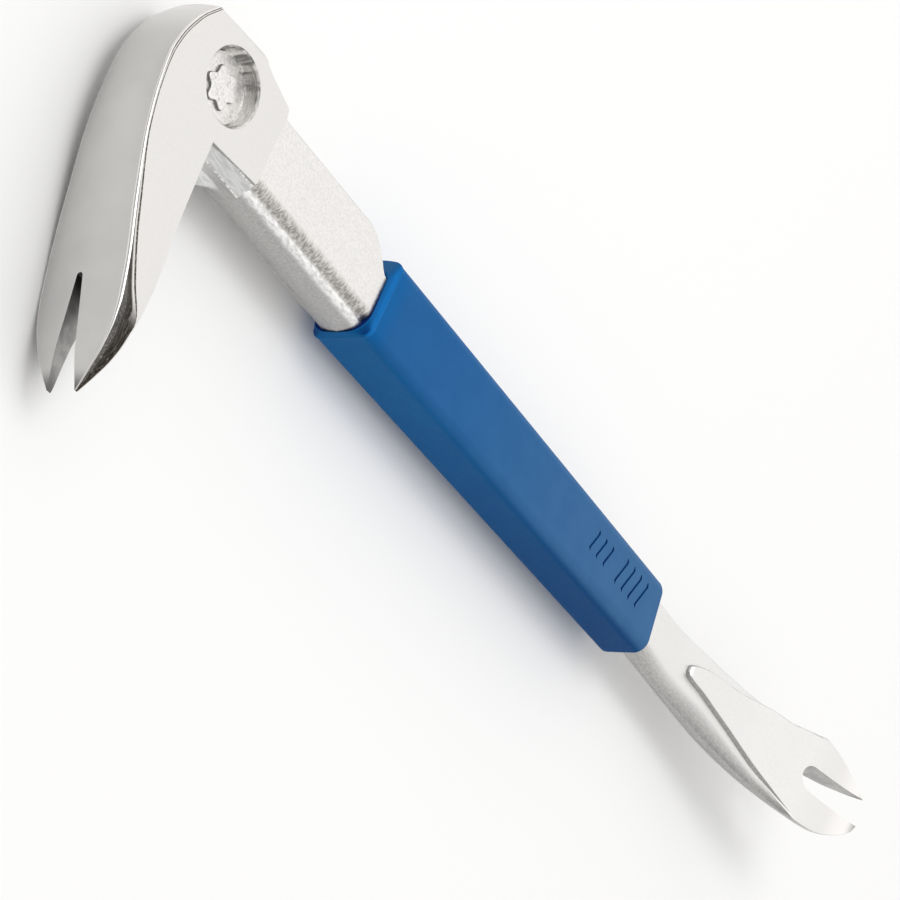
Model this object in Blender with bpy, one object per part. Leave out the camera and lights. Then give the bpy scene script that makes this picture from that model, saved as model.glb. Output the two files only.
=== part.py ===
"""Pry bar with a curved nail-pulling head, a straight claw and a cushion sleeve.

Frame: X runs along the bar from the head to the straight claw, Z is the
thickness of the head and points up, and the head claw drops towards -Y.
The origin is the middle of the bottom of the bounding box. All lengths below
are millimetres. The dimensions themselves are measured from the centre of the
round recess: along the bar, drop towards the tips of the head claw, and lift
from the middle plane of the head.
"""
import math

import bmesh
import bpy
import numpy as np

MM = 0.001
GAP = 0.3

HEAD_HALF = 7.6

# Side view of the head, as (along, drop).
CHEEK_END = 18.5
# Each line joins a drop on the claw face to a point (along, drop) of the rear outline.
HEAD_BACK = ((-11.5, 5.4, -12.7), (-10.9, 6.9, -11.3), (-9.8, 9.2, -10.4), (-7.5, 17.7, -8.0),
             (-5.5, 18.4, -6.2), (-2.0, CHEEK_END, -2.0), (5.0, CHEEK_END, 5.0),
             (12.1, CHEEK_END, 12.1), (13.5, 1.9, 13.5))

# The head claw: stations down the drop, each with the quantity named.
CLAW_TIP = 79.9
CLAW_OUTER = ((-11.5, -14.5), (-5.6, -18.4), (2.3, -21.2), (6.6, -21.9), (14.0, -21.4),
              (23.0, -19.9), (38.5, -15.3), (54.0, -9.8), (65.2, -6.0), (73.0, -3.4), (79.9, 0.2))
CLAW_INNER = ((13.5, 1.9), (25.6, 2.6), (38.4, 3.6), (48.0, 5.0), (56.0, 5.3), (67.0, 4.2),
              (79.9, 1.7))
CLAW_HALF = ((-11.5, 6.9), (-5.6, 7.2), (2.1, 7.5), (6.8, 7.7), (23.0, 8.7), (38.5, 10.0),
             (54.0, 11.3), (60.0, 11.4), (65.4, 10.8), (70.5, 9.3), (75.8, 6.7), (79.9, 4.1))
FLANK_RUN = ((-11.5, 0.5), (6.8, 0.6), (22.5, 1.4), (38.0, 3.6), (43.5, 4.4), (49.0, 5.6),
             (54.0, 7.2), (60.0, 10.0), (79.9, 10.0))
FLANK_SLOPE = 0.42
CLAW_CROWN = 1.4
CLAW_BEVEL = 0.5
CLAW_HOLLOW = 5.2
# The claw notch, as (along, drop of its root, half width at the root and at the tips).
CLAW_NOTCH = ((-26.0, 56.0, 0.4, 3.4), (14.0, 58.5, 1.3, 4.7))

# The round recess in each cheek.
RECESS_RADIUS = 8.6
RECESS_DEPTH = 4.0
RECESS_CHAMFER = 0.5
RECESS_DRAFT = 0.25
ROSETTE_RADIUS = 4.4
ROSETTE_LOBES = 6
ROSETTE_HEIGHT = 0.8

# The shank: web with a rounded keel below it, as (drop, half thickness).
SHANK_SECTION = ((-5.9, 0.0), (-5.9, 6.9), (-5.3, 7.5), (10.7, 7.5), (11.5, 6.9), (12.1, 6.1),
                 (12.8, 5.8), (13.7, 5.75), (14.5, 5.1), (15.1, 3.5), (15.4, 1.8), (15.5, 0.0))
KEEL_SECTION = ((8.0, 0.0), (8.0, 6.9), (12.6, 6.9), (15.5, 3.7), (15.8, 1.8), (15.9, 0.0))
WEB_END = 56.0
WEB_FALL = (66.0, 0.7)
NECK = (66.4, 72.0)
NECK_SHARE = 0.74
NECK_STATIONS = (66.4, 67.5, 69.2, 70.9, 72.0)
SHANK_END = 82.0
ROOT_FILLET = 11.0

# The tang inside the grip and the straight claw, stations along the bar.
BLADE_BACK = ((74.0, 0.5), (120.0, -2.5), (199.0, -3.7), (214.5, -4.6), (226.0, -5.0), (236.0, -5.3),
              (246.0, -5.7), (254.0, -6.4), (261.4, -7.9), (266.0, -9.0), (268.6, -9.6),
              (269.8, -9.4), (274.2, -8.0), (278.8, -5.2), (283.7, -0.7))
BLADE_FRONT = ((74.0, 11.0), (120.0, 11.0), (199.0, 11.2), (214.0, 11.4), (228.0, 12.0), (242.0, 13.3),
               (256.0, 14.6), (264.0, 15.0), (268.4, 14.9), (272.7, 14.5), (276.0, 13.5),
               (280.7, 10.7), (283.0, 8.3), (283.7, 6.3))
BLADE_TOP = ((74.0, 4.2), (120.0, 3.6), (199.0, 3.6), (214.0, 3.7), (228.0, 5.0), (242.0, 7.0),
             (256.0, 10.1), (266.0, 12.6), (276.0, 15.8), (283.7, 19.3))
BLADE_LOW = ((74.0, -4.2), (120.0, -3.6), (199.0, -3.6), (228.0, -3.4), (242.0, -2.6),
             (256.0, -0.2), (266.0, 3.4), (276.0, 9.8), (283.7, 18.4))
SIDE_SLANT = (0.42, 0.54)
TIP_END = 283.7
BLADE_NOTCH = (265.0, 2.5)
BLADE_NOTCH_HALF = 3.35
BLADE_NOTCH_TIP_HALF = 3.75
FAN_BACK = ((219.9, 1.6), (220.8, 0.9), (226.4, -1.3), (232.0, -2.2), (239.0, -3.2), (245.0, -4.6),
            (251.0, -5.9), (256.0, -6.3))
FAN_FRONT = ((219.9, 3.2), (220.8, 4.0), (227.4, 4.9), (232.0, 5.8), (239.0, 7.2), (245.6, 8.9),
             (251.0, 10.4), (256.5, 11.7), (266.0, 14.0), (269.0, 14.7))
FAN_RISE = 1.1
FAN_FADE = 256.0

# The cushion sleeve.
GRIP_START = 69.0
GRIP_END = 198.0
GRIP_BACK = (-4.9, -5.4)
GRIP_FRONT = (16.1, 12.7)
GRIP_HALF = (8.3, 7.2)
GRIP_CORNER = 2.4
GRIP_CROWN = 1.2
LIP_START = 66.2
LIP_BACK = -0.8
LIP_FRONT = 16.0
LIP_WALL = 0.45
LIP_CORNER = 4.6
END_SLANT = 2.8
MARK_WIDTH = 0.8
MARK_DEPTH = 0.6
MARK_LEAN = 0.33
# Each row of short grooves: centre of the first, count, pitch, middle drop, half length.
MARK_ROWS = ((165.0, 3, 3.35, 2.7, 3.1), (178.2, 4, 3.35, 2.4, 4.0))


def curve(stations, at):
    """Smooth curve through (position, value) stations, without overshoot."""
    x = np.array([s[0] for s in stations], float)
    y = np.array([s[1] for s in stations], float)
    step = np.diff(x)
    rise = np.diff(y) / step
    slope = np.empty(len(x))
    slope[0] = rise[0]
    slope[-1] = rise[-1]
    for i in range(1, len(x) - 1):
        a, b = rise[i - 1], rise[i]
        if a * b <= 0.0:
            slope[i] = 0.0
        else:
            slope[i] = 3.0 * (step[i - 1] + step[i]) / (
                (2.0 * step[i] + step[i - 1]) / a + (step[i] + 2.0 * step[i - 1]) / b)
    at = min(max(at, x[0]), x[-1])
    i = int(min(np.searchsorted(x, at, side="right") - 1, len(x) - 2))
    t = (at - x[i]) / step[i]
    h00 = 2 * t ** 3 - 3 * t ** 2 + 1
    h10 = t ** 3 - 2 * t ** 2 + t
    h01 = -2 * t ** 3 + 3 * t ** 2
    h11 = t ** 3 - t ** 2
    return float(h00 * y[i] + h10 * step[i] * slope[i] + h01 * y[i + 1] + h11 * step[i] * slope[i + 1])


def place(along, drop, lift):
    """A point of the part in metres: along the bar, drop of the claw, thickness."""
    return (along * MM, -drop * MM, lift * MM)


def solid(name, rings):
    """A closed mesh through rings of equal count, capped at both ends."""
    bm = bmesh.new()
    rows = [[bm.verts.new(place(*p)) for p in ring] for ring in rings]
    count = len(rows[0])
    for low, high in zip(rows[:-1], rows[1:]):
        for i in range(count):
            j = (i + 1) % count
            bm.faces.new((low[i], low[j], high[j], high[i]))
    bm.faces.new(rows[0])
    bm.faces.new(rows[-1])
    bmesh.ops.recalc_face_normals(bm, faces=bm.faces[:])
    if bm.calc_volume(signed=True) < 0.0:
        bmesh.ops.reverse_faces(bm, faces=bm.faces[:])
    mesh = bpy.data.meshes.new(name)
    bm.to_mesh(mesh)
    bm.free()
    obj = bpy.data.objects.new(name, mesh)
    bpy.context.scene.collection.objects.link(obj)
    return obj


def mirrored(half):
    """Full ring from half a ring given on the upper side, first and last on the middle plane."""
    under = [(a, d, -z) for a, d, z in reversed(half[1:-1])]
    return half + under


def combine(target, tool, operation):
    """Exact Boolean of tool into target, and the tool is removed."""
    modifier = target.modifiers.new("join", "BOOLEAN")
    modifier.operation = operation
    modifier.solver = "EXACT"
    modifier.object = tool
    graph = bpy.context.evaluated_depsgraph_get()
    result = bpy.data.meshes.new_from_object(target.evaluated_get(graph))
    target.modifiers.clear()
    target.data = result
    bpy.data.objects.remove(tool)
    return target


def smooth(low, high, at):
    """0 below low, 1 above high, eased between."""
    t = min(max((at - low) / (high - low), 0.0), 1.0)
    return t * t * (3.0 - 2.0 * t)


def claw_ring(drop, back=None):
    """Section of the head: satin face, bevel, hollow flank, cheek and inner edge."""
    outer = curve(CLAW_OUTER, drop)
    half = curve(CLAW_HALF, drop)
    inner, inner_drop = back if back else (curve(CLAW_INNER, drop), drop)
    thick = inner - outer
    hollow = 0.0 if back else min(CLAW_HOLLOW * smooth(40.0, 64.0, drop), 0.5 * thick)
    crown = min(CLAW_CROWN, 0.2 * thick)
    bevel = min(CLAW_BEVEL, 0.12 * thick)
    run = min(curve(FLANK_RUN, drop), thick - crown - bevel - 0.5)
    foot = HEAD_HALF + (half - FLANK_SLOPE * run - HEAD_HALF) * smooth(58.0, 64.0, drop)
    side = max(half, foot)
    points = [(outer + crown * (k / 4.0) ** 2, (half - bevel) * k / 4.0) for k in range(5)]
    edge = outer + crown + bevel
    points.append((edge, side))
    for share, sink in ((0.25, 0.42), (0.5, 0.74), (0.75, 0.93), (1.0, 1.0)):
        points.append((edge + run * share, side + (foot - side) * sink))
    lip = min(0.4, 0.25 * (inner - edge - run) + 0.1)
    points.append((inner - lip, foot))
    points.append((inner, foot - lip))
    points.append((inner - 0.75 * hollow, 0.4 * foot))
    points.append((inner - hollow, 0.0))
    slope = (inner_drop - drop) / thick
    return mirrored([(a, drop + slope * (a - outer), z) for a, z in points])


def head():
    """The head with its claw, from the striking face down to the tips."""
    rings = [claw_ring(drop, (along, low)) for drop, along, low in HEAD_BACK]
    drops = list(np.linspace(16.0, 64.0, 17)) + [66.5, 69.0, 71.5, 74.0, 76.0, 77.6, 79.0, CLAW_TIP]
    return solid("head", rings + [claw_ring(drop) for drop in drops])


def shank_ring(along, section, top, low_shift):
    """Web and keel section; the top edge is lowered to top and the keel moved by low_shift."""
    half = []
    share = 1.0 - (1.0 - NECK_SHARE) * smooth(NECK[0], NECK[1], along)
    for drop, lift in section:
        drop = 5.5 + (drop - 5.5) * share
        lift = lift * share
        if lift < 2.0 and drop > 8.1:
            drop = drop + low_shift
        if drop < 8.1:
            drop = max(drop, top + share * (drop - 5.5) - share * (section[0][0] - 5.5))
        half.append((along, drop, lift))
    return mirrored(half)


def shank():
    """The forged web with its rounded keel, from inside the head to inside the grip."""
    rings = []
    for along in (CHEEK_END - 0.4, 24.0, 40.0, WEB_END):
        rings.append(shank_ring(along, SHANK_SECTION, -5.9, 0.0))
    rings.append(shank_ring(58.0, SHANK_SECTION, -5.1, 0.0))
    rings.append(shank_ring(62.0, SHANK_SECTION, -2.3, 0.0))
    for along in (WEB_FALL[0], *NECK_STATIONS, SHANK_END):
        rings.append(shank_ring(along, SHANK_SECTION, WEB_FALL[1], 0.0))
    return solid("shank", rings)


def keel_root():
    """The ground keel beside the cheeks, running into the inner face of the claw."""
    rings = []
    for along in (-2.0, 2.0, 5.0, 8.0, 10.0, 12.0, 14.0, 16.0, CHEEK_END):
        extra = ROOT_FILLET * max(0.0, (18.0 - along) / 18.0) ** 1.8
        rings.append(shank_ring(along, KEEL_SECTION, 8.0, extra))
    return solid("keel", rings)


def blade_ring(along, rise):
    """Section of the tang and straight claw, rise lowers the upper face beside the fan."""
    back = curve(BLADE_BACK, along)
    front = curve(BLADE_FRONT, along)
    top = curve(BLADE_TOP, along) - rise
    low = curve(BLADE_LOW, along)
    thick = top - low
    lean = SIDE_SLANT[0] + (SIDE_SLANT[1] - SIDE_SLANT[0]) * smooth(256.0, 274.0, along)
    slant = lean * thick * smooth(225.0, 262.0, along)
    soft = 1.0 - smooth(225.0, 262.0, along)
    edge = min(0.5, 0.25 * thick)
    ring = []
    ring.append((back + edge, top))
    ring.append((back + (front - back) * 0.33, top))
    ring.append((front - 3.4 * soft - edge * (1 - soft), top))
    ring.append((front - 1.2 * soft - 0.3 * edge * (1 - soft), top - 0.22 * thick * soft - 0.3 * edge * (1 - soft)))
    ring.append((front - 0.25 * soft, top - 0.36 * thick * soft - edge * (1 - soft)))
    ring.append((front - 0.25 * soft - 0.5 * slant, low + 0.36 * thick))
    ring.append((front - 1.2 * soft - slant, low + edge * (1 - soft) + 0.2 * thick * soft))
    ring.append((front - 2.6 * soft - slant - edge, low))
    ring.append((back + slant + edge, low))
    ring.append((back + 0.8 * slant, low + edge))
    ring.append((back, top - edge))
    return [(along, drop, lift) for drop, lift in ring]


def blade():
    """Tang and straight claw in one loft."""
    stations = [74.0, 90.0, 110.0, 135.0, 165.0, 199.0, 207.0, 214.0, 221.0, 228.0, 235.0, 242.0, 248.0, 253.0,
                257.0, 261.0, 264.0, 266.5, 268.6, 269.8, 272.0, 274.5, 277.0, 279.5, 281.5, 283.0, 283.7]
    rings = []
    for along in stations:
        rise = FAN_RISE * (1.0 - smooth(236.0, FAN_FADE, along)) * smooth(199.0, 216.0, along)
        rings.append(blade_ring(along, rise))
    return solid("blade", rings)


def fan():
    """Raised flat facet that widens from its nose to the full width of the straight claw."""
    rings = []
    for along in (219.9, 220.2, 220.8, 224.0, 228.0, 232.0, 236.0, 240.0, 244.0, 248.0, 252.0, 256.0):
        back = curve(FAN_BACK, along)
        front = curve(FAN_FRONT, along)
        top = curve(BLADE_TOP, along)
        nose = 0.5 * (1.0 - smooth(219.9, 220.8, along))
        rings.append([(along, back + 0.3, top - nose), (along, front - 0.3, top - nose),
                      (along, front, top - 0.3 - nose), (along, front + 0.5, top - 1.9),
                      (along, back - 0.5, top - 1.9), (along, back, top - 0.3 - nose)])
    return solid("fan", rings)


def recess_cutter(side):
    """Round recess with a chamfered mouth and a raised rosette left on its floor."""
    floor = HEAD_HALF - RECESS_DEPTH
    chamfer_low = HEAD_HALF - RECESS_CHAMFER
    outlines = [(RECESS_RADIUS - RECESS_DRAFT, floor), (RECESS_RADIUS, chamfer_low),
                (RECESS_RADIUS + 2 * RECESS_CHAMFER, HEAD_HALF + RECESS_CHAMFER)]
    rings = []
    for radius, lift in outlines:
        rings.append([(radius * math.cos(2 * math.pi * k / 64), radius * math.sin(2 * math.pi * k / 64),
                       side * lift) for k in range(64)])
    cutter = solid("recess", rings)
    rosette = []
    for inset, lift in ((0.0, floor - 1.0), (0.0, floor + 0.6 * ROSETTE_HEIGHT), (0.45, floor + ROSETTE_HEIGHT)):
        ring = []
        for k in range(72):
            angle = 2 * math.pi * k / 72
            radius = ROSETTE_RADIUS * (1.0 + 0.16 * math.cos(ROSETTE_LOBES * angle)) - inset
            ring.append((radius * math.cos(angle), radius * math.sin(angle), side * lift))
        rosette.append(ring)
    return combine(cutter, solid("rosette", rosette), "DIFFERENCE")


def claw_notch():
    """Tapered slot between the tines of the head claw, its root slanting through the thickness."""
    tip = CLAW_TIP + 4.0
    rings = []
    for along, root, half_root, half_tip in CLAW_NOTCH:
        rings.append([(along, root, -half_root), (along, root - 0.6 * half_root, 0.0), (along, root, half_root),
                      (along, tip, half_tip), (along, tip, -half_tip)])
    return solid("notch", rings)


def blade_notch():
    """Round-ended slot between the tines of the straight claw."""
    start, middle = BLADE_NOTCH
    half = BLADE_NOTCH_HALF
    outline = []
    for k in range(13):
        angle = math.pi * (0.5 + k / 12.0)
        outline.append((start + half + half * math.cos(angle), middle - half * math.sin(angle)))
    outline.append((TIP_END + 4.0, middle + BLADE_NOTCH_TIP_HALF))
    outline.append((TIP_END + 4.0, middle - BLADE_NOTCH_TIP_HALF))
    return solid("slot", [[(a, d, z) for a, d in outline] for z in (-6.0, 26.0)])


def grip_ring(along, back, front, half, corner, crown, slant=0.0):
    """Rounded rectangular section of the sleeve with a crowned back."""
    back_corner = min(corner, GRIP_CORNER)
    ring = [(front, 0.0), (front, 0.5 * (half - corner))]
    for radius, drop, start in ((corner, front - corner, 0.0), (back_corner, back + back_corner, 90.0)):
        for k in range(5):
            angle = math.radians(start + 22.5 * k)
            ring.append((drop + radius * math.cos(angle), half - radius + radius * math.sin(angle)))
    ring.append((back, 0.5 * (half - corner)))
    ring.append((back, 0.0))
    points = []
    for drop, lift in ring:
        share = (front - drop) / (front - back)
        bulge = crown * max(0.0, 1.0 - (lift / half) ** 2) * smooth(0.75, 1.0, share)
        points.append((along - slant * share ** 1.5, drop - bulge, lift))
    return mirrored(points)


def grip_outside():
    wall = HEAD_HALF + LIP_WALL
    rings = [grip_ring(LIP_START, LIP_BACK, LIP_FRONT - 0.1, wall, LIP_CORNER, 0.0),
             grip_ring(LIP_START + 0.4, LIP_BACK - 0.5, LIP_FRONT, wall + 0.1, LIP_CORNER, 0.1)]
    for along in (GRIP_START, GRIP_START + 0.5, 100.0, 130.0, 160.0, 190.0, GRIP_END - 0.6, GRIP_END):
        t = (along - GRIP_START) / (GRIP_END - GRIP_START)
        trim = {GRIP_START: 0.15, GRIP_END: 0.5}.get(along, 0.0)
        rings.append(grip_ring(along, GRIP_BACK[0] + (GRIP_BACK[1] - GRIP_BACK[0]) * t + trim,
                               GRIP_FRONT[0] + (GRIP_FRONT[1] - GRIP_FRONT[0]) * t - trim,
                               GRIP_HALF[0] + (GRIP_HALF[1] - GRIP_HALF[0]) * t - trim, GRIP_CORNER, GRIP_CROWN,
                               END_SLANT * smooth(185.0, GRIP_END - 1.0, along)))
    return solid("cushion_grip", rings)


def grown(ring, by):
    """The ring moved outwards in its own plane."""
    middle = sum(p[1] for p in ring) / len(ring)
    count = len(ring)
    out = []
    for i, (along, drop, lift) in enumerate(ring):
        _, d0, z0 = ring[i - 1]
        _, d1, z1 = ring[(i + 1) % count]
        normal = (z1 - z0, -(d1 - d0))
        length = math.hypot(*normal) or 1.0
        sign = 1.0 if normal[0] * (drop - middle) + normal[1] * lift > 0.0 else -1.0
        out.append((along, drop + sign * by * normal[0] / length, lift + sign * by * normal[1] / length))
    return out


def cushion_grip():
    grip = grip_outside()
    pocket = []
    for along in (LIP_START - 1.0, *NECK_STATIONS, SHANK_END + GAP):
        pocket.append(grown(shank_ring(along, SHANK_SECTION, WEB_FALL[1], 0.0), GAP * 1.15))
    combine(grip, solid("pocket", pocket), "DIFFERENCE")
    bore = [grown(blade_ring(along, 0.0), GAP * 1.3) for along in (73.0, 90.0, 110.0, 135.0, 165.0, 199.0, 206.0)]
    combine(grip, solid("bore", bore), "DIFFERENCE")
    for first, count, pitch, middle, reach in MARK_ROWS:
        for k in range(count):
            combine(grip, mark(first + k * pitch, middle, reach), "DIFFERENCE")
    return grip


def mark(along, middle, reach):
    """Cutter for one short leaning groove in the upper face of the sleeve."""
    share = (along - GRIP_START) / (GRIP_END - GRIP_START)
    face = GRIP_HALF[0] + (GRIP_HALF[1] - GRIP_HALF[0]) * share
    rings = []
    for lift, wide in ((face - MARK_DEPTH, 0.35 * MARK_WIDTH), (face + 1.0, MARK_WIDTH)):
        ring = []
        for end in (-1.0, 1.0):
            for side in (-1.0, 1.0):
                drop = middle + end * reach
                ring.append((along - MARK_LEAN * end * reach + side * end * 0.5 * wide, drop, lift))
        rings.append(ring)
    return solid("mark", rings)


def recentre(objects):
    """Moves every mesh so that the origin is the bottom middle of the bounding box."""
    points = [vertex.co for obj in objects for vertex in obj.data.vertices]
    low = [min(p[axis] for p in points) for axis in range(3)]
    high = [max(p[axis] for p in points) for axis in range(3)]
    shift = ((low[0] + high[0]) / 2, (low[1] + high[1]) / 2, low[2])
    for obj in objects:
        for vertex in obj.data.vertices:
            vertex.co = [vertex.co[axis] - shift[axis] for axis in range(3)]


def finish(obj, colour, roughness, metallic):
    """One Principled material and smooth faces with sharp folds kept."""
    material = bpy.data.materials.new(obj.name)
    material.use_nodes = True
    shader = material.node_tree.nodes["Principled BSDF"]
    shader.inputs["Base Color"].default_value = (*colour, 1.0)
    shader.inputs["Roughness"].default_value = roughness
    shader.inputs["Metallic"].default_value = metallic
    obj.data.materials.clear()
    obj.data.materials.append(material)
    obj.data.shade_smooth()
    obj.data.set_sharp_from_angle(angle=math.radians(32.0))


def steel_bar():
    bar = head()
    combine(bar, shank(), "UNION")
    combine(bar, keel_root(), "UNION")
    straight = blade()
    combine(straight, fan(), "UNION")
    combine(straight, blade_notch(), "DIFFERENCE")
    combine(bar, straight, "UNION")
    combine(bar, recess_cutter(1.0), "DIFFERENCE")
    combine(bar, recess_cutter(-1.0), "DIFFERENCE")
    combine(bar, claw_notch(), "DIFFERENCE")
    bar.name = "steel_bar"
    bar.data.name = "steel_bar"
    return bar


for old in list(bpy.data.objects):
    bpy.data.objects.remove(old)

bar = steel_bar()
grip = cushion_grip()
recentre([bar, grip])
finish(bar, (0.62, 0.60, 0.58), 0.34, 1.0)
finish(grip, (0.02, 0.13, 0.36), 0.62, 0.0)
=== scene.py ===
"""Looks of the pry bar: a bright plated steel bar with ground and forged faces, and a blue moulded sleeve.

Lengths in the design tables are millimetres, measured as in the CAD model: along the bar from the centre
of the round recess, drop towards the tips of the head claw, lift from the middle plane of the head.
"""
import math

import bmesh
import bpy
import numpy as np
from mathutils import Euler, Matrix, Vector


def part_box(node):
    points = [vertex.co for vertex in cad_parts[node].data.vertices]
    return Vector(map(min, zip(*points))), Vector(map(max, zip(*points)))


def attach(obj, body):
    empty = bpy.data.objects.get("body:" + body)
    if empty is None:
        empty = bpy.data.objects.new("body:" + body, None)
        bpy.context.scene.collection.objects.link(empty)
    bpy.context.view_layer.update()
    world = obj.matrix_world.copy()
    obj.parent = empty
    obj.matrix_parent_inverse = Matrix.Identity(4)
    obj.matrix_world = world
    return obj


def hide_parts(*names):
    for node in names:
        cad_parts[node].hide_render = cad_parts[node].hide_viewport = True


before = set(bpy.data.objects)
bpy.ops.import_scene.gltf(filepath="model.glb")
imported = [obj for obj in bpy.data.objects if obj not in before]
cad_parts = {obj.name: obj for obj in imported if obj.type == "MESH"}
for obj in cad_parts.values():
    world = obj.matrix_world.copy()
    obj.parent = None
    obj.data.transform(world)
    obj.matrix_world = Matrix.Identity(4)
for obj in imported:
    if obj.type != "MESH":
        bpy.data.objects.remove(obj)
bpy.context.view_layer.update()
MM = 0.001

# Side view of the head. Each entry joins a drop on the claw face to a point of the rear outline.
HEAD_HALF = 7.6
CHEEK_END = 18.5
HEAD_BACK = ((-11.5, 5.4, -12.7), (-10.9, 6.9, -11.3), (-9.8, 9.2, -10.4), (-7.5, 17.7, -8.0),
             (-5.5, 18.4, -6.2), (-2.0, CHEEK_END, -2.0), (5.0, CHEEK_END, 5.0),
             (12.1, CHEEK_END, 12.1), (13.5, 1.9, 13.5))
HEAD_EASE = 0.5

# The head claw: stations down the drop.
CLAW_TIP = 79.9
CLAW_OUTER = ((-11.5, -14.5), (-5.6, -18.6), (2.3, -21.4), (6.6, -21.9), (14.0, -21.4),
              (23.0, -19.9), (38.5, -15.3), (54.0, -9.8), (65.2, -6.0), (73.0, -3.4), (CLAW_TIP, 0.2))
CLAW_INNER = ((13.5, 1.9), (25.6, 2.6), (38.4, 3.6), (48.0, 5.0), (56.0, 5.3), (67.0, 4.2), (CLAW_TIP, 1.7))
CLAW_HALF = ((-11.5, 6.9), (-5.6, 7.2), (2.1, 7.5), (6.8, 7.7), (23.0, 8.7), (38.5, 10.0),
             (54.0, 11.3), (60.0, 11.4), (65.4, 10.8), (70.5, 9.3), (75.8, 6.7), (CLAW_TIP, 4.1))
FLANK_RUN = ((-11.5, 0.5), (6.8, 0.6), (22.5, 1.4), (38.0, 3.6), (43.5, 4.4), (49.0, 5.6),
             (54.0, 7.2), (60.0, 10.0), (CLAW_TIP, 10.0))
FLANK_SLOPE = 0.42
FLANK_OPENS = (58.0, 64.0)
SEAM_WIDTH = (0.25, 0.75)
SEAM_GROWS = (10.0, 50.0)
CLAW_CROWN = 1.4
CLAW_BEVEL = ((-11.5, 0.3), (5.0, 0.4), (25.0, 0.5), (45.0, 0.7), (58.0, 0.7), (66.0, 0.4), (CLAW_TIP, 0.15))
CLAW_HOLLOW = 5.2
HOLLOW_GROWS = (40.0, 64.0)
CLAW_NOTCH = ((-26.0, 56.0, 0.4, 3.4), (14.0, 58.5, 1.3, 4.7))

# The round recess in each cheek, with a six-lobed rosette on its floor.
RECESS_RADIUS = 8.6
RECESS_DEPTH = 3.7
RECESS_CHAMFER = 0.45
RECESS_DRAFT = 0.25
RECESS_ROUND = 0.35
ROSETTE_RADIUS = 4.4
ROSETTE_LOBES = 6
ROSETTE_HEIGHT = 0.8
ROSETTE_WAVE = 0.16
ROUND_COUNT = 96

# The shank: web with a rounded keel below it, as (drop, half thickness).
WEB_SECTION = ((-5.9, 7.1), (-5.5, 7.5), (8.3, 7.5))
KEEL_CURVE = ((10.6, 7.5), (11.4, 7.35), (12.0, 6.6), (12.5, 5.7), (13.3, 5.8), (14.0, 5.5), (14.8, 4.4),
              (15.3, 2.6), (15.5, 0.0))
FACET_SECTION = ((8.0, 6.9), (12.6, 6.9), (12.8, 6.7), (15.4, 3.9), (15.55, 3.6), (15.8, 1.8))
KEEL_CROWN = 0.1
WEB_TOP = ((15.0, -5.9), (55.4, -5.9), (56.6, -5.7), (58.0, -5.1), (62.0, -2.3), (66.0, 0.7), (90.0, 0.7))
NECK = (66.4, 72.0)
NECK_SHARE = 0.74
NECK_MIDDLE = 5.5
KEEL_START = 8.1
SHANK_END = 82.0
ROOT_FILLET = 11.6
ROOT_FILLET_RUN = 18.0

# The tang inside the sleeve and the straight claw, stations along the bar. Its round sides turn into
# slanting ones over SIDE_TURNS, lean further over SIDE_LEANS, and meet the fan over CREST_MEETS.
TANG_START = 74.0
TIP_END = 283.7
BLADE_BACK = ((TANG_START, 0.5), (120.0, -2.5), (199.0, -3.7), (214.5, -4.6), (226.0, -5.0), (236.0, -5.3),
              (246.0, -5.7), (254.0, -6.4), (261.4, -7.9), (266.0, -9.0), (268.6, -9.6),
              (269.8, -9.4), (274.2, -8.0), (278.8, -5.2), (TIP_END, -0.7))
BLADE_FRONT = ((TANG_START, 11.0), (120.0, 11.0), (199.0, 11.2), (214.0, 11.4), (228.0, 12.0), (242.0, 13.3),
               (256.0, 14.6), (264.0, 15.0), (268.4, 14.9), (272.7, 14.5), (276.0, 13.5),
               (280.7, 10.7), (283.0, 8.3), (TIP_END, 6.3))
BLADE_TOP = ((TANG_START, 4.2), (120.0, 3.6), (199.0, 3.6), (214.0, 3.7), (228.0, 5.0), (242.0, 7.0),
             (256.0, 10.1), (266.0, 12.6), (276.0, 15.8), (TIP_END, 19.3))
BLADE_LOW = ((TANG_START, -4.2), (120.0, -3.6), (199.0, -3.6), (228.0, -3.4), (242.0, -2.6),
             (256.0, -0.2), (266.0, 3.4), (276.0, 9.8), (TIP_END, 18.4))
SIDE_SLANT = (0.42, 0.54)
SIDE_TURNS = (225.0, 262.0)
SIDE_LEANS = (256.0, 274.0)
CREST_MEETS = (224.0, 234.0)
CREST_BACK = 5.8
BLADE_NOTCH = (265.0, 2.5)
BLADE_NOTCH_HALF = 3.35
BLADE_NOTCH_TIP_HALF = 3.75
FAN_START = 219.9
FAN_BACK = ((FAN_START, 1.6), (220.8, 0.9), (226.4, -1.3), (232.0, -2.2), (239.0, -3.2), (245.0, -4.6),
            (251.0, -5.9), (256.0, -6.3), (262.0, -7.8), (269.0, -9.3))
FAN_FRONT = ((FAN_START, 3.2), (220.8, 4.0), (227.4, 4.9), (232.0, 5.8), (239.0, 7.2), (245.6, 8.9),
             (251.0, 10.4), (256.5, 11.7), (266.0, 14.0), (269.0, 14.7))
FAN_RISE = 1.3
FAN_GROWS = (199.0, 216.0)
FAN_FADES = (250.0, 268.8)
NOTCH_OVERRUN = 4.0

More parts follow.
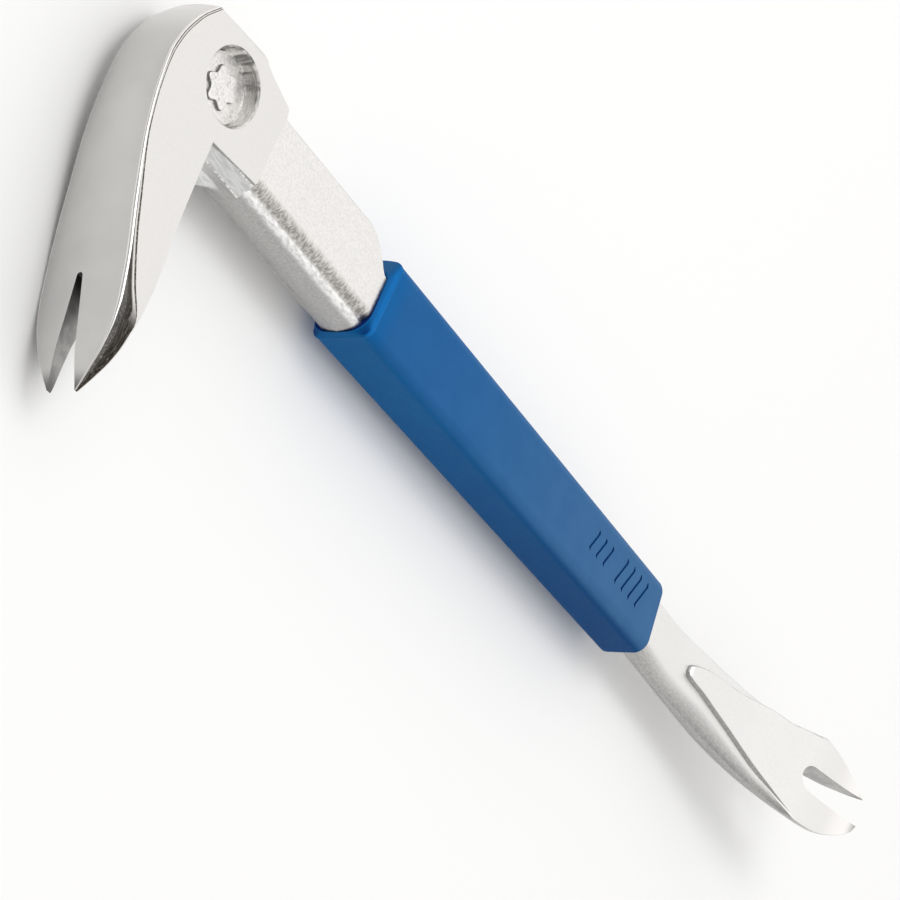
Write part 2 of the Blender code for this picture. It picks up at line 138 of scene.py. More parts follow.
# The cushion sleeve.
GAP = 0.3
GRIP_START = 68.2
GRIP_END = 198.0
GRIP_BACK = (-4.9, -5.4)
GRIP_FRONT = (15.8, 12.7)
GRIP_HALF = (8.3, 7.2)
GRIP_CORNER = (2.6, 3.4)
GRIP_CROWN = 1.2
LIP_START = 66.2
LIP_BACK = -0.8
LIP_FRONT = 15.7
LIP_HALF = 8.05
LIP_CORNER = 5.2
END_SLANT = 2.8
END_SLANTS = (185.0, GRIP_END - 1.0)
BEAD_HALF = 0.6
BEAD_RISE = 0.12
MOUTH_SLANT = 0.9
MOUTH_SLANTS = (76.0, GRIP_START + 0.6)
MARK_WIDTH = 1.0
MARK_DEPTH = 0.45
MARK_HOOK = 0.7
MARK_LEAN = 0.33
MARK_ROWS = ((165.0, 3, 3.35, 2.7, 3.1), (178.2, 4, 3.35, 2.4, 4.0))

# Highest corner of the CAD model as along, minus drop and lift. It ties the tables to the row frame.
DESIGN_CORNER = (TIP_END, -HEAD_BACK[0][2], BLADE_TOP[-1][1])

# Faces of the steel, in the order of its material slots.
CHEEK, OUTER, EDGE, FLANK, FORGED, GROUND, TURNED, CAST, BLADE, SEAM, NOTCH, SLOT, SCRATCHED = range(13)


def curve(stations, at):
    """Smooth curve through (position, value) stations, without overshoot."""
    x = np.array([s[0] for s in stations], float)
    y = np.array([s[1] for s in stations], float)
    step = np.diff(x)
    rise = np.diff(y) / step
    slope = np.zeros(len(x))
    slope[0] = rise[0]
    slope[-1] = rise[-1]
    for i in range(1, len(x) - 1):
        a, b = rise[i - 1], rise[i]
        if a * b > 0.0:
            slope[i] = 3.0 * (step[i - 1] + step[i]) / (
                (2.0 * step[i] + step[i - 1]) / a + (step[i] + 2.0 * step[i - 1]) / b)
    at = min(max(at, x[0]), x[-1])
    i = int(min(np.searchsorted(x, at, side="right") - 1, len(x) - 2))
    t = (at - x[i]) / step[i]
    h00 = 2 * t ** 3 - 3 * t ** 2 + 1
    h10 = t ** 3 - 2 * t ** 2 + t
    h01 = -2 * t ** 3 + 3 * t ** 2
    h11 = t ** 3 - t ** 2
    return float(h00 * y[i] + h10 * step[i] * slope[i] + h01 * y[i + 1] + h11 * step[i] * slope[i + 1])


def smooth(low, high, at):
    """0 below low, 1 above high, eased between."""
    t = min(max((at - low) / (high - low), 0.0), 1.0)
    return t * t * (3.0 - 2.0 * t)


def between(ends, share):
    """The number that share of the way from the first end to the second."""
    return ends[0] + (ends[1] - ends[0]) * share


def steps(low, high, size):
    """Evenly spaced values from low to high, about size apart."""
    return list(np.linspace(low, high, max(2, int(round((high - low) / size)) + 1)))


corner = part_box("steel_bar")[1]
SHIFT = tuple(corner[k] - DESIGN_CORNER[k] * MM for k in range(3))


def place(along, drop, lift):
    """A design point in the row frame, in metres."""
    return (along * MM + SHIFT[0], -drop * MM + SHIFT[1], lift * MM + SHIFT[2])


def soften(line, rounds):
    """An open line with its corners cut, ends kept."""
    for _ in range(rounds):
        cut = [line[0]]
        for p, q in zip(line[:-1], line[1:]):
            cut.append(tuple(0.75 * a + 0.25 * b for a, b in zip(p, q)))
            cut.append(tuple(0.25 * a + 0.75 * b for a, b in zip(p, q)))
        cut.append(line[-1])
        line = cut
    return line


RANGE_INPUTS = ("From Min", "From Max", "To Min", "To Max")


class Nodes:
    """Short ways to add and join the nodes of one material."""

    def __init__(self, name):
        self.material = bpy.data.materials.new(name)
        self.material.use_nodes = True
        self.tree = self.material.node_tree
        self.shader = self.tree.nodes["Principled BSDF"]
        self.where = self.tree.nodes.new("ShaderNodeTexCoord").outputs

    def link(self, source, socket):
        """Join a node's output to an input."""
        self.tree.links.new(source, socket)

    def noise(self, size, detail=3.0, stretch=(1.0, 1.0, 1.0), roughness=0.55):
        """Noise with features about size metres across, longer along an axis with a small stretch."""
        mapping = self.tree.nodes.new("ShaderNodeMapping")
        mapping.inputs["Scale"].default_value = stretch
        self.link(self.where["Object"], mapping.inputs["Vector"])
        node = self.tree.nodes.new("ShaderNodeTexNoise")
        node.inputs["Scale"].default_value = 1.0 / size
        node.inputs["Detail"].default_value = detail
        node.inputs["Roughness"].default_value = roughness
        self.link(mapping.outputs["Vector"], node.inputs["Vector"])
        return node.outputs["Fac"]

    def ranged(self, value, low, high, new_low=0.0, new_high=1.0):
        """The value eased from the range low to high into another."""
        node = self.tree.nodes.new("ShaderNodeMapRange")
        node.interpolation_type = "SMOOTHSTEP"
        for name, number in zip(RANGE_INPUTS, (low, high, new_low, new_high)):
            node.inputs[name].default_value = number
        self.link(value, node.inputs["Value"])
        return node.outputs["Result"]

    def math(self, operation, *values):
        """One math operation on outputs and numbers."""
        node = self.tree.nodes.new("ShaderNodeMath")
        node.operation = operation
        for socket, value in zip(node.inputs, values):
            if isinstance(value, float):
                socket.default_value = value
            else:
                self.link(value, socket)
        return node.outputs["Value"]

    def mix(self, factor, a, b):
        """Colour a where the factor is 0, b where it is 1."""
        node = self.tree.nodes.new("ShaderNodeMix")
        node.data_type = "RGBA"
        self.link(factor, node.inputs["Factor"])
        for name, value in (("A", a), ("B", b)):
            socket = [s for s in node.inputs if s.name == name and s.type == "RGBA"][0]
            if isinstance(value, tuple):
                socket.default_value = (*value, 1.0)
            else:
                self.link(value, socket)
        return [s for s in node.outputs if s.type == "RGBA"][0]

    def axis(self, name, source="Object"):
        """One coordinate of the place on the bar, or of the way the surface faces with source Normal."""
        node = self.tree.nodes.new("ShaderNodeSeparateXYZ")
        self.link(self.where[source], node.inputs["Vector"])
        return node.outputs[name]

    def faces(self, name, low, high):
        """0 where the surface turns away from both ways of an axis, 1 where it faces along it."""
        return self.ranged(self.math("ABSOLUTE", self.axis(name, "Normal")), low, high)

    def along(self, low, high):
        """0 before one place along the bar, 1 after another."""
        return self.ranged(self.axis("X"), place(low, 0, 0)[0], place(high, 0, 0)[0])

    def drop(self, low, high):
        """0 above one drop, 1 below another. A low over high turns it round."""
        return self.ranged(self.axis("Y"), place(0, low, 0)[1], place(0, high, 0)[1])

    def bump(self, height, distance):
        """Relief on the surface, distance metres deep."""
        node = self.tree.nodes.new("ShaderNodeBump")
        node.inputs["Distance"].default_value = distance
        self.link(height, node.inputs["Height"])
        self.link(node.outputs["Normal"], self.shader.inputs["Normal"])


def grey(value, warmth=0.02):
    """A steel colour, a little warmer than neutral."""
    return (value * (1.0 + warmth), value, value * (1.0 - warmth))


def plated(name):
    """Nodes of a metal material."""
    nodes = Nodes(name)
    nodes.shader.inputs["Metallic"].default_value = 1.0
    return nodes


def steel(name, light, dark, rough, grain, depth, stretch=(1.0, 1.0, 1.0), blotch=0.006):
    """Plated steel between two greys in soft blotches, with a grain of that size and depth."""
    nodes = plated(name)
    fine = nodes.noise(grain, 4.0, stretch)
    soft = nodes.noise(blotch, 3.0)
    colour = nodes.mix(nodes.ranged(soft, 0.35, 0.65), grey(dark), grey(light))
    nodes.link(colour, nodes.shader.inputs["Base Color"])
    nodes.link(nodes.ranged(fine, 0.3, 0.7, *rough), nodes.shader.inputs["Roughness"])
    nodes.bump(fine, depth)
    return nodes.material


def outer_steel():
    """Drawn outer face of the head claw: finely lined, with a painted highlight over the top, and tips
    darkened partly by wear and partly by painted dark reflection.
    """
    nodes = plated("steel_outer")
    line = nodes.noise(0.0006, 4.0, (0.15, 1.0, 1.0))
    soft = nodes.noise(0.02, 3.0)
    body = nodes.mix(nodes.ranged(soft, 0.35, 0.65), grey(0.55), grey(0.59))
    # Painted highlight over the top of the outer face.
    body = nodes.mix(nodes.drop(4.0, -9.0), body, grey(0.70))
    # Darker tips: partly wear, partly painted dark reflection.
    body = nodes.mix(nodes.drop(75.5, 79.5), body, grey(0.16))
    nodes.link(body, nodes.shader.inputs["Base Color"])
    nodes.link(nodes.ranged(line, 0.3, 0.7, 0.30, 0.36), nodes.shader.inputs["Roughness"])
    nodes.bump(line, 0.000006)
    return nodes.material


def flank_steel():
    """Ground flank of the head claw, scratched, with painted shade beside the bevel and towards the tips."""
    nodes = plated("steel_flank")
    # Painted shade: a dark band on the flank beside the bevel down the claw, and the flank dark towards the
    # tips, broken by scratches and flecks.
    lift = nodes.math("ABSOLUTE", nodes.math("SUBTRACT", nodes.axis("Z"), place(0, 0, 0)[2]))
    bevel_shade = nodes.ranged(lift, (HEAD_HALF + 0.005) * MM, (HEAD_HALF + 0.15) * MM)
    bevel_shade = nodes.math("MULTIPLY", bevel_shade, nodes.drop(8.0, 44.0))
    flank_shade = nodes.math("MAXIMUM", bevel_shade, nodes.drop(55.0, 62.0))
    scratch = nodes.noise(0.00030, 4.0, (1.0, 0.10, 1.0), 0.7)
    fleck = nodes.noise(0.0005, 3.0)
    dark = nodes.mix(nodes.ranged(scratch, 0.46, 0.66), grey(0.016, 0.28), grey(0.13, 0.12))
    dark = nodes.mix(nodes.ranged(fleck, 0.60, 0.72), dark, grey(0.20, 0.08))
    nodes.link(nodes.mix(flank_shade, grey(0.785), dark), nodes.shader.inputs["Base Color"])
    nodes.link(nodes.ranged(scratch, 0.3, 0.7, 0.42, 0.62), nodes.shader.inputs["Roughness"])
    nodes.bump(scratch, 0.00003)
    return nodes.material


def seam_shade_steel():
    """Narrow line of painted shade beside a bevel, broken up by specks of bright metal."""
    nodes = plated("steel_seam_shade")
    fleck = nodes.noise(0.0005, 3.0)
    # Painted shade, broken up by specks of bright metal.
    tone = nodes.mix(nodes.ranged(fleck, 0.46, 0.66), grey(0.05, 0.15), grey(0.36, 0.08))
    nodes.link(tone, nodes.shader.inputs["Base Color"])
    nodes.link(nodes.ranged(fleck, 0.3, 0.7, 0.35, 0.55), nodes.shader.inputs["Roughness"])
    nodes.bump(fleck, 0.00003)
    return nodes.material


def forged_steel():
    """Shank: pebbled web with painted shade on its chamfered edges, a groove with cross marks darkened by
    painted shade, a painted highlight on the keel shoulder, and painted shade on the grey underside.
    """
    nodes = plated("steel_forged")
    pebble = nodes.noise(0.00055, 4.0, (1.0, 1.0, 1.0), 0.6)
    mark = nodes.noise(0.00042, 3.0, (1.0, 0.3, 0.5))
    spark = nodes.noise(0.0008, 3.0, (0.5, 1.0, 1.0))
    web = nodes.mix(nodes.ranged(pebble, 0.36, 0.62), grey(0.79), grey(0.875))
    # Painted shade on the chamfered edges of the web.
    chamfer_shade = nodes.math("MULTIPLY", nodes.faces("Y", 0.30, 0.60), nodes.faces("Y", 0.97, 0.85))
    web = nodes.mix(chamfer_shade, web, grey(0.30))
    # The groove: real cross marks, darkened with painted shade.
    groove = nodes.mix(nodes.ranged(mark, 0.36, 0.66), grey(0.34, 0.05), grey(0.70, 0.03))
    groove_marks_and_shade = nodes.math("MULTIPLY", nodes.drop(9.6, 11.6), nodes.drop(13.2, 12.5))
    # Painted highlight on the up-facing keel shoulder, painted shade on the underside that faces sideways.
    shoulder = nodes.mix(nodes.ranged(spark, 0.36, 0.60), grey(0.70), grey(0.98, 0.0))
    under = nodes.mix(nodes.ranged(pebble, 0.35, 0.65), grey(0.38), grey(0.50))
    keel = nodes.mix(nodes.faces("Z", 0.62, 0.30), shoulder, under)
    body = nodes.mix(nodes.drop(12.2, 12.8), web, keel)
    body = nodes.mix(groove_marks_and_shade, body, groove)
    nodes.link(body, nodes.shader.inputs["Base Color"])
    nodes.link(nodes.ranged(pebble, 0.3, 0.7, 0.32, 0.44), nodes.shader.inputs["Roughness"])
    nodes.bump(pebble, 0.000030)
    return nodes.material


def ground_steel():
    """Ground facets at the root of the keel, lined along the bar, with painted shade on the faces underneath.
    """
    nodes = plated("steel_ground")
    line = nodes.noise(0.0005, 4.0, (0.15, 1.0, 1.0))
    body = nodes.mix(nodes.ranged(line, 0.36, 0.64), grey(0.58, 0.0), grey(0.74, 0.0))
    # Painted shade on the faces that turn sideways, underneath.
    under = nodes.mix(nodes.ranged(line, 0.35, 0.65), grey(0.36), grey(0.46))
    body = nodes.mix(nodes.faces("Z", 0.62, 0.25), body, under)
    nodes.link(body, nodes.shader.inputs["Base Color"])
    nodes.link(nodes.ranged(line, 0.3, 0.7, 0.28, 0.38), nodes.shader.inputs["Roughness"])
    nodes.bump(line, 0.00002)
    return nodes.material


def slot_steel(name, start, end, light, by):
    """Wall of a nail slot, streaked across the steel, with painted shade near its root and darker towards its
    tips.
    """
    nodes = plated(name)
    streak = nodes.noise(0.0012, 3.0, (0.4, 0.4, 0.4))
    line = nodes.noise(0.0004, 3.0, (1.0, 0.1, 1.0))
    measure = nodes.drop if by == "drop" else nodes.along
    body = nodes.mix(nodes.ranged(streak, 0.35, 0.65), grey(0.75 * light), grey(light))
    body = nodes.mix(nodes.ranged(line, 0.55, 0.75), body, grey(1.25 * light))
    # Painted shade near the root of the slot; darker towards the tips below.
    body = nodes.mix(measure(start + 5.0, start), body, grey(0.22 * light))
    body = nodes.mix(measure(end - 7.0, end), body, grey(0.30 * light))
    nodes.link(body, nodes.shader.inputs["Base Color"])
    nodes.link(nodes.ranged(line, 0.3, 0.7, 0.34, 0.48), nodes.shader.inputs["Roughness"])
    nodes.bump(line, 0.00001)
    return nodes.material


def turned_steel():
    """Turned wall of the round recess, with painted shade in dark streaks round the side towards the striking
    face.
    """
    nodes = plated("steel_turned")
    ring = nodes.noise(0.0006, 3.0, (0.25, 0.25, 2.0))
    streak = nodes.noise(0.0016, 3.0, (1.0, 1.0, 0.15))
    # Painted shade in streaks on the side of the recess wall towards the striking face.
    side = nodes.drop(-1.5, -7.5)
    dark = nodes.math("MULTIPLY", side, nodes.ranged(streak, 0.40, 0.62))
    body = nodes.mix(nodes.ranged(ring, 0.4, 0.6), grey(0.62), grey(0.86))
    nodes.link(nodes.mix(dark, body, grey(0.20)), nodes.shader.inputs["Base Color"])
    nodes.link(nodes.ranged(ring, 0.3, 0.7, 0.18, 0.30), nodes.shader.inputs["Roughness"])
    nodes.bump(ring, 0.000015)
    return nodes.material


def cast_steel():
    """Rough floor of the recess, with painted shade on the steep edges of the rosette."""
    nodes = plated("steel_cast")
    rough = nodes.noise(0.0006, 4.0)
    pit = nodes.noise(0.0022, 4.0)
    body = nodes.mix(nodes.ranged(rough, 0.36, 0.62), grey(0.78), grey(0.93))
    body = nodes.mix(nodes.ranged(pit, 0.60, 0.70), body, grey(0.58))
    # Painted shade on the steep faces of the rosette.
    body = nodes.mix(nodes.faces("Z", 0.80, 0.45), body, grey(0.22))
    nodes.link(body, nodes.shader.inputs["Base Color"])
    nodes.link(nodes.ranged(rough, 0.3, 0.7, 0.30, 0.46), nodes.shader.inputs["Roughness"])
    nodes.bump(rough, 0.00006)
    return nodes.material


def blade_steel():
    """Tang and straight claw: satin broad faces, ground sides with a fine grain darkened with painted shade,
    and darker towards and at the tips.
    """
    nodes = plated("steel_blade")
    satin = nodes.noise(0.0005, 4.0)
    grind = nodes.noise(0.00045, 3.0, (0.5, 1.0, 1.0))
    body = nodes.mix(nodes.ranged(satin, 0.35, 0.65), grey(0.825, 0.012), grey(0.86, 0.012))
    side = nodes.mix(nodes.ranged(grind, 0.35, 0.65), grey(0.40), grey(0.50))
    # Painted shade on the sides, which turn away from the broad faces.
    body = nodes.mix(nodes.faces("Y", 0.03, 0.62), body, side)
    # Darker towards the tips, and darker still at their ends.
    body = nodes.mix(nodes.along(262.0, 281.0), body, grey(0.72))
    body = nodes.mix(nodes.along(281.2, 284.0), body, grey(0.30))
    nodes.link(body, nodes.shader.inputs["Base Color"])
    nodes.link(nodes.ranged(satin, 0.3, 0.7, 0.36, 0.44), nodes.shader.inputs["Roughness"])
    nodes.bump(grind, 0.000012)
    return nodes.material


def rubber():
    """Blue moulded sleeve with a fine grain. Its broad faces carry a painted sheen that is missing close to
    the mouth and greyer towards the far end, with a painted highlight on the bead at the mouth and painted
    shade on the end face there; its narrow sides show the deeper blue without the sheen, darker towards the
    far end.
    """
    nodes = Nodes("sleeve_blue")
    shader = nodes.shader
    fine = nodes.noise(0.00035, 3.0)
    soft = nodes.noise(0.006, 3.0)
    far = nodes.along(75.0, 195.0)
    # Painted sheen on the broad faces: greyer towards the far end, and left off close to the mouth.
    broad = nodes.mix(far, (0.012, 0.112, 0.315), (0.046, 0.142, 0.310))
    broad = nodes.mix(nodes.along(GRIP_START + 1.0, GRIP_START + 8.0), (0.001, 0.112, 0.345), broad)
    # Painted highlight on the bead at the mouth.
    rim_highlight = nodes.math("MULTIPLY", nodes.along(LIP_START + 0.6, GRIP_START - 0.4),
                     nodes.along(GRIP_START + 1.0, GRIP_START + 0.3))
    broad = nodes.mix(rim_highlight, broad, (0.003, 0.150, 0.460))
    # The narrow sides keep the deeper blue without the painted sheen, darker towards the far end; faces that
    # face the broad way take the sheen colour.
    narrow = nodes.mix(far, (0.002, 0.110, 0.315), (0.001, 0.060, 0.205))
    body = nodes.mix(nodes.faces("Z", 0.30, 0.86), narrow, broad)
    # Painted shade on the end face at the mouth.
    end = nodes.math("MULTIPLY", nodes.ranged(nodes.axis("X", "Normal"), -0.5, -0.9), nodes.drop(1.0, 9.0))
    body = nodes.mix(end, body, (0.000, 0.020, 0.160))
    body = nodes.mix(nodes.ranged(soft, 0.35, 0.65, 0.0, 0.10), body, (0.000, 0.050, 0.200))
    nodes.link(body, shader.inputs["Base Color"])
    shader.inputs["Specular IOR Level"].default_value = 0.08
    nodes.link(nodes.ranged(fine, 0.3, 0.7, 0.46, 0.60), shader.inputs["Roughness"])
    nodes.bump(fine, 0.00004)
    return nodes.material


STEELS = (
    steel("steel_cheek", 0.805, 0.785, (0.36, 0.44), 0.0004, 0.000012, blotch=0.0007),
    outer_steel(),
    steel("steel_edge", 0.90, 0.82, (0.20, 0.28), 0.0004, 0.000006),
    flank_steel(),
    forged_steel(),
    ground_steel(),
    turned_steel(),
    cast_steel(),
    blade_steel(),
    seam_shade_steel(),
    slot_steel("steel_notch", 56.0, 81.0, 0.42, "drop"),
    slot_steel("steel_slot", 263.0, 286.0, 0.52, "along"),
    steel("steel_scratched", 1.0, 0.42, (0.20, 0.36), 0.0004, 0.000020, (0.4, 1.0, 1.0), 0.0007),
)
BLUE = (rubber(),)


def mirrored(half):
    """Full ring from half a ring on the upper side, whose ends lie on the middle plane."""
    return half + [(a, d, -z) for a, d, z in reversed(half[1:-1])]


def mirrored_zones(zones):
    """Material slots round a mirrored ring."""
    return zones + list(reversed(zones))


def loft(name, rings, zones, caps=(0, 0), slots=STEELS):
    """Closed mesh through rings of equal count. zones gives each segment's material slot."""
    bm = bmesh.new()
    rows = [[bm.verts.new(place(*p)) for p in ring] for ring in rings]
    count = len(rows[0])
    for low, high in zip(rows[:-1], rows[1:]):
        for i in range(count):
            j = (i + 1) % count
            face = bm.faces.new((low[i], low[j], high[j], high[i]))
            face.material_index = zones[i % len(zones)]
    for row, zone in zip((rows[0], rows[-1]), caps):
        bm.faces.new(row).material_index = zone
    bmesh.ops.recalc_face_normals(bm, faces=bm.faces[:])
    if bm.calc_volume(signed=True) < 0.0:
        bmesh.ops.reverse_faces(bm, faces=bm.faces[:])
    mesh = bpy.data.meshes.new(name)
    bm.to_mesh(mesh)
    bm.free()
    obj = bpy.data.objects.new(name, mesh)
    bpy.context.scene.collection.objects.link(obj)
    for material in slots:
        mesh.materials.append(material)
    return obj


def combine(target, tool, operation):
    """Exact Boolean of tool into target, and the tool is removed."""
    modifier = target.modifiers.new("join", "BOOLEAN")
    modifier.operation = operation
    modifier.solver = "EXACT"
    modifier.object = tool
    graph = bpy.context.evaluated_depsgraph_get()
    result = bpy.data.meshes.new_from_object(target.evaluated_get(graph))
    target.modifiers.clear()
    target.data = result
    bpy.data.objects.remove(tool)
    return target


CROWN_STEPS = 10
BEVEL_STEPS = 4
FLANK_STEPS = 10
SEAM_STEPS = 5
INNER_STEPS = 6
# SEAM faces carry painted shade: on the flank beside the bevel, and on the strip at the foot of the flank.
HEAD_ZONES = mirrored_zones([OUTER] * CROWN_STEPS + [EDGE] * BEVEL_STEPS + [SEAM] * SEAM_STEPS
                            + [FLANK] * (FLANK_STEPS - SEAM_STEPS) + [SEAM, CHEEK] + [EDGE] * 2
                            + [GROUND] * INNER_STEPS)


def claw_ring(drop, back=None, inset=0.0):
    """Section of the head: crowned outer face, bevel, hollow flank, cheek and inner face."""
    outer = curve(CLAW_OUTER, drop) + inset
    half = curve(CLAW_HALF, drop) - inset
    inner, inner_drop = back if back else (curve(CLAW_INNER, drop), drop)
    inner -= inset
    thick = inner - outer
    hollow = 0.0 if back else min(CLAW_HOLLOW * smooth(*HOLLOW_GROWS, drop), 0.5 * thick)
    crown = min(CLAW_CROWN, 0.2 * thick)
    bevel = min(curve(CLAW_BEVEL, drop), 0.12 * thick)
    run = min(curve(FLANK_RUN, drop), thick - crown - bevel - 0.5)
    cheek = HEAD_HALF - inset
    foot = cheek + (half - FLANK_SLOPE * run - cheek) * smooth(*FLANK_OPENS, drop)
    side = max(half, foot)
    points = [(outer + crown * (k / CROWN_STEPS) ** 2, (side - bevel) * k / CROWN_STEPS)
              for k in range(CROWN_STEPS + 1)]
    for k in range(1, BEVEL_STEPS + 1):
        angle = math.radians(90.0 * k / BEVEL_STEPS)
        inwards = bevel * (1.0 - math.cos(angle))
        points.append((outer + crown + inwards, side - bevel * (1.0 - math.sin(angle))))
    edge = outer + crown + bevel
    for k in range(1, FLANK_STEPS + 1):
        share = k / FLANK_STEPS
        points.append((edge + run * share, side + (foot - side) * (1.0 - (1.0 - share) ** 2)))
    seam = min(between(SEAM_WIDTH, smooth(*SEAM_GROWS, drop)), 0.2 * (inner - edge - run))
    points.append((edge + run + seam, foot))
    lip = min(0.4, 0.25 * (inner - edge - run) + 0.1)
    points.append((inner - lip, foot))
    points.append((inner - 0.3 * lip, foot - 0.3 * lip))
    points.append((inner, foot - lip))
    for k in range(1, INNER_STEPS + 1):
        share = 1.0 - k / INNER_STEPS
        points.append((inner - hollow * (1.0 - share ** 2), (foot - lip) * share))
    slope = (inner_drop - drop) / thick
    return mirrored([(a, drop + slope * (a - outer), z) for a, z in points])


def head():
    """The head with its claw, from the striking face down to the tips."""
    first, second = HEAD_BACK[0], HEAD_BACK[1]
    rings = [claw_ring(first[0], (first[1], first[2]), HEAD_EASE)]
    ease = HEAD_EASE / (second[0] - first[0]) * 0.7
    stations = [tuple(a + (b - a) * ease for a, b in zip(first, second))] + list(HEAD_BACK[1:])
    for low, high in zip(stations[:-1], stations[1:]):
        pieces = max(1, int(round((high[0] - low[0]) / 0.9)))
        for k in range(pieces):
            drop, along, rear = (a + (b - a) * k / pieces for a, b in zip(low, high))
            rings.append(claw_ring(drop, (along, rear)))
    last = HEAD_BACK[-1]
    rings.append(claw_ring(last[0], (last[1], last[2])))
    for drop in steps(14.4, 64.0, 1.1) + steps(65.0, 78.4, 0.9) + [79.2, CLAW_TIP]:
        rings.append(claw_ring(drop))
    return loft("head", rings, HEAD_ZONES, (OUTER, FLANK))


def section_half(section, along, low_shift):
    """Half a shank ring, from the middle of its top over its side to the middle of its bottom."""
    share = 1.0 - (1.0 - NECK_SHARE) * smooth(NECK[0], NECK[1], along)
    top = curve(WEB_TOP, along)
    half = []
    for drop, lift in section:
        low = drop + low_shift * smooth(2.4, 0.0, lift) if drop > KEEL_START else drop
        low = NECK_MIDDLE + (low - NECK_MIDDLE) * share
        if drop < KEEL_START:
            low = max(low, top + share * (drop - section[0][0]))
        half.append((along, low, lift * share))
    return half


def web_outline():
    """Half of the web's section, from the middle of its top to the middle of its keel."""
    return [(WEB_SECTION[0][0], 0.0)] + list(WEB_SECTION) + soften(KEEL_CURVE, 2)


def shank():
    """The forged web with its rounded keel, from inside the head to inside the sleeve."""
    section = web_outline()
    zones = mirrored_zones([FORGED] * (len(section) - 1))
    stations = steps(CHEEK_END - 0.4, 54.0, 3.5) + steps(55.4, 66.0, 1.0)
    stations += [67.2, 69.2, 70.9, NECK[1], SHANK_END]
    rings = [mirrored(section_half(section, along, 0.0)) for along in stations]
    return loft("shank", rings, zones, (FORGED, FORGED))


def keel_root():
    """The ground keel beside the cheeks, running into the inner face of the claw."""
    section = [(FACET_SECTION[0][0], 0.0)] + list(FACET_SECTION)
    low, half = FACET_SECTION[-1]
    section += [(low + KEEL_CROWN * k / 4, half * (1 - k / 4)) for k in range(1, 5)]
    plain = [GROUND] * (len(section) - 6)
    zones = mirrored_zones([GROUND, GROUND, SCRATCHED, GROUND, SCRATCHED] + plain)
    rings = []
    for along in steps(-2.0, CHEEK_END, 0.8):
        extra = ROOT_FILLET * max(0.0, 1.0 - along / ROOT_FILLET_RUN) ** 1.8
        rings.append(mirrored(section_half(section, along, extra)))
    return loft("keel", rings, zones, (GROUND, FORGED))


def blade_section(along, rise):
    """Corners of the tang or straight claw, from its upper back corner round to its lower back corner."""
    back = curve(BLADE_BACK, along)
    front = curve(BLADE_FRONT, along)
    top = curve(BLADE_TOP, along) - rise
    low = curve(BLADE_LOW, along)
    thick = top - low
    turned = smooth(*SIDE_TURNS, along)
    slant = between(SIDE_SLANT, smooth(*SIDE_LEANS, along)) * thick * turned
    soft = 1.0 - turned
    edge = min(0.5, 0.25 * thick)
    crest = front - CREST_BACK
    if along > FAN_START:
        crest += (min(front - 0.2, curve(FAN_FRONT, along) + 0.5) - crest) * smooth(*CREST_MEETS, along)
    wide = front - crest
    upper = [(crest, top),
             (crest + 0.42 * wide, top - 0.03 * thick - 0.2 * edge * (1 - soft)),
             (front - 0.04 * wide, top - 0.30 * thick * soft - 0.16 * thick * (1 - soft)),
             (front - 0.25 * soft - 0.5 * slant, low + 0.36 * thick),
             (front - 1.0 * soft - slant, low + edge * (1 - soft) + 0.12 * thick * soft),
             (front - 3.0 * soft - slant - edge, low)]
    return back, top, low, slant, edge, soften(upper, 2)


def blade_ring(along, rise):
    """Closed section of the tang or straight claw, its top lowered by rise."""
    back, top, low, slant, edge, side = blade_section(along, rise)
    start = side[0][0]
    ring = [(back + edge, top), (back + (start - back) * 0.25, top), (back + (start - back) * 0.6, top)]
    ring += side
    ring += [(back + slant + edge, low), (back + 0.8 * slant, low + edge), (back, top - edge)]
    return [(along, drop, lift) for drop, lift in ring]


def blade():
    """Tang and straight claw in one loft."""
    stations = steps(TANG_START, 198.0, 12.0) + steps(200.0, 264.0, 1.25)
    stations += steps(265.0, 283.0, 0.8) + [TIP_END]
    rings = []
    for along in stations:
        rise = FAN_RISE * (1.0 - smooth(*FAN_FADES, along)) * smooth(*FAN_GROWS, along)
        rings.append(blade_ring(along, rise))
    zones = [BLADE] * (len(rings[0]) - 1) + [GROUND]
    return loft("blade", rings, zones, (BLADE, BLADE))


def fan():
    """Raised flat facet that widens from its nose to the full width of the straight claw."""
    rings = []
    for along in [FAN_START, 220.0, 220.2, 220.5, 220.9, 221.4] + steps(222.4, FAN_FADES[1], 1.2):
        back = curve(FAN_BACK, along)
        front = curve(FAN_FRONT, along)
        top = curve(BLADE_TOP, along)
        nose = 0.8 * (1.0 - math.sqrt(1.0 - (1.0 - min(1.0, (along - FAN_START) / 1.5)) ** 2))
        out = 0.5 - 1.6 * smooth(254.0, 266.0, along)
        rings.append([(along, back + 0.3, top - nose), (along, front - 0.3, top - nose),
                      (along, front - 0.08, top - 0.1 - nose), (along, front, top - 0.3 - nose),
                      (along, front + out, top - 1.9), (along, back - 0.5, top - 1.9),
                      (along, back, top - 0.3 - nose), (along, back + 0.08, top - 0.1 - nose)])
    return loft("fan", rings, [BLADE, BLADE, GROUND, BLADE, BLADE, BLADE, GROUND, GROUND], (GROUND, BLADE))


def round_ring(radius, lift, wave=0.0, inset=0.0):
    """Ring about the recess's centre. wave draws it out and in by that share, once for each lobe."""
    ring = []
    for k in range(ROUND_COUNT):
        angle = 2 * math.pi * k / ROUND_COUNT
        reach = radius * (1.0 + wave * math.cos(ROSETTE_LOBES * angle)) - inset
        ring.append((reach * math.cos(angle), reach * math.sin(angle), lift))
    return ring


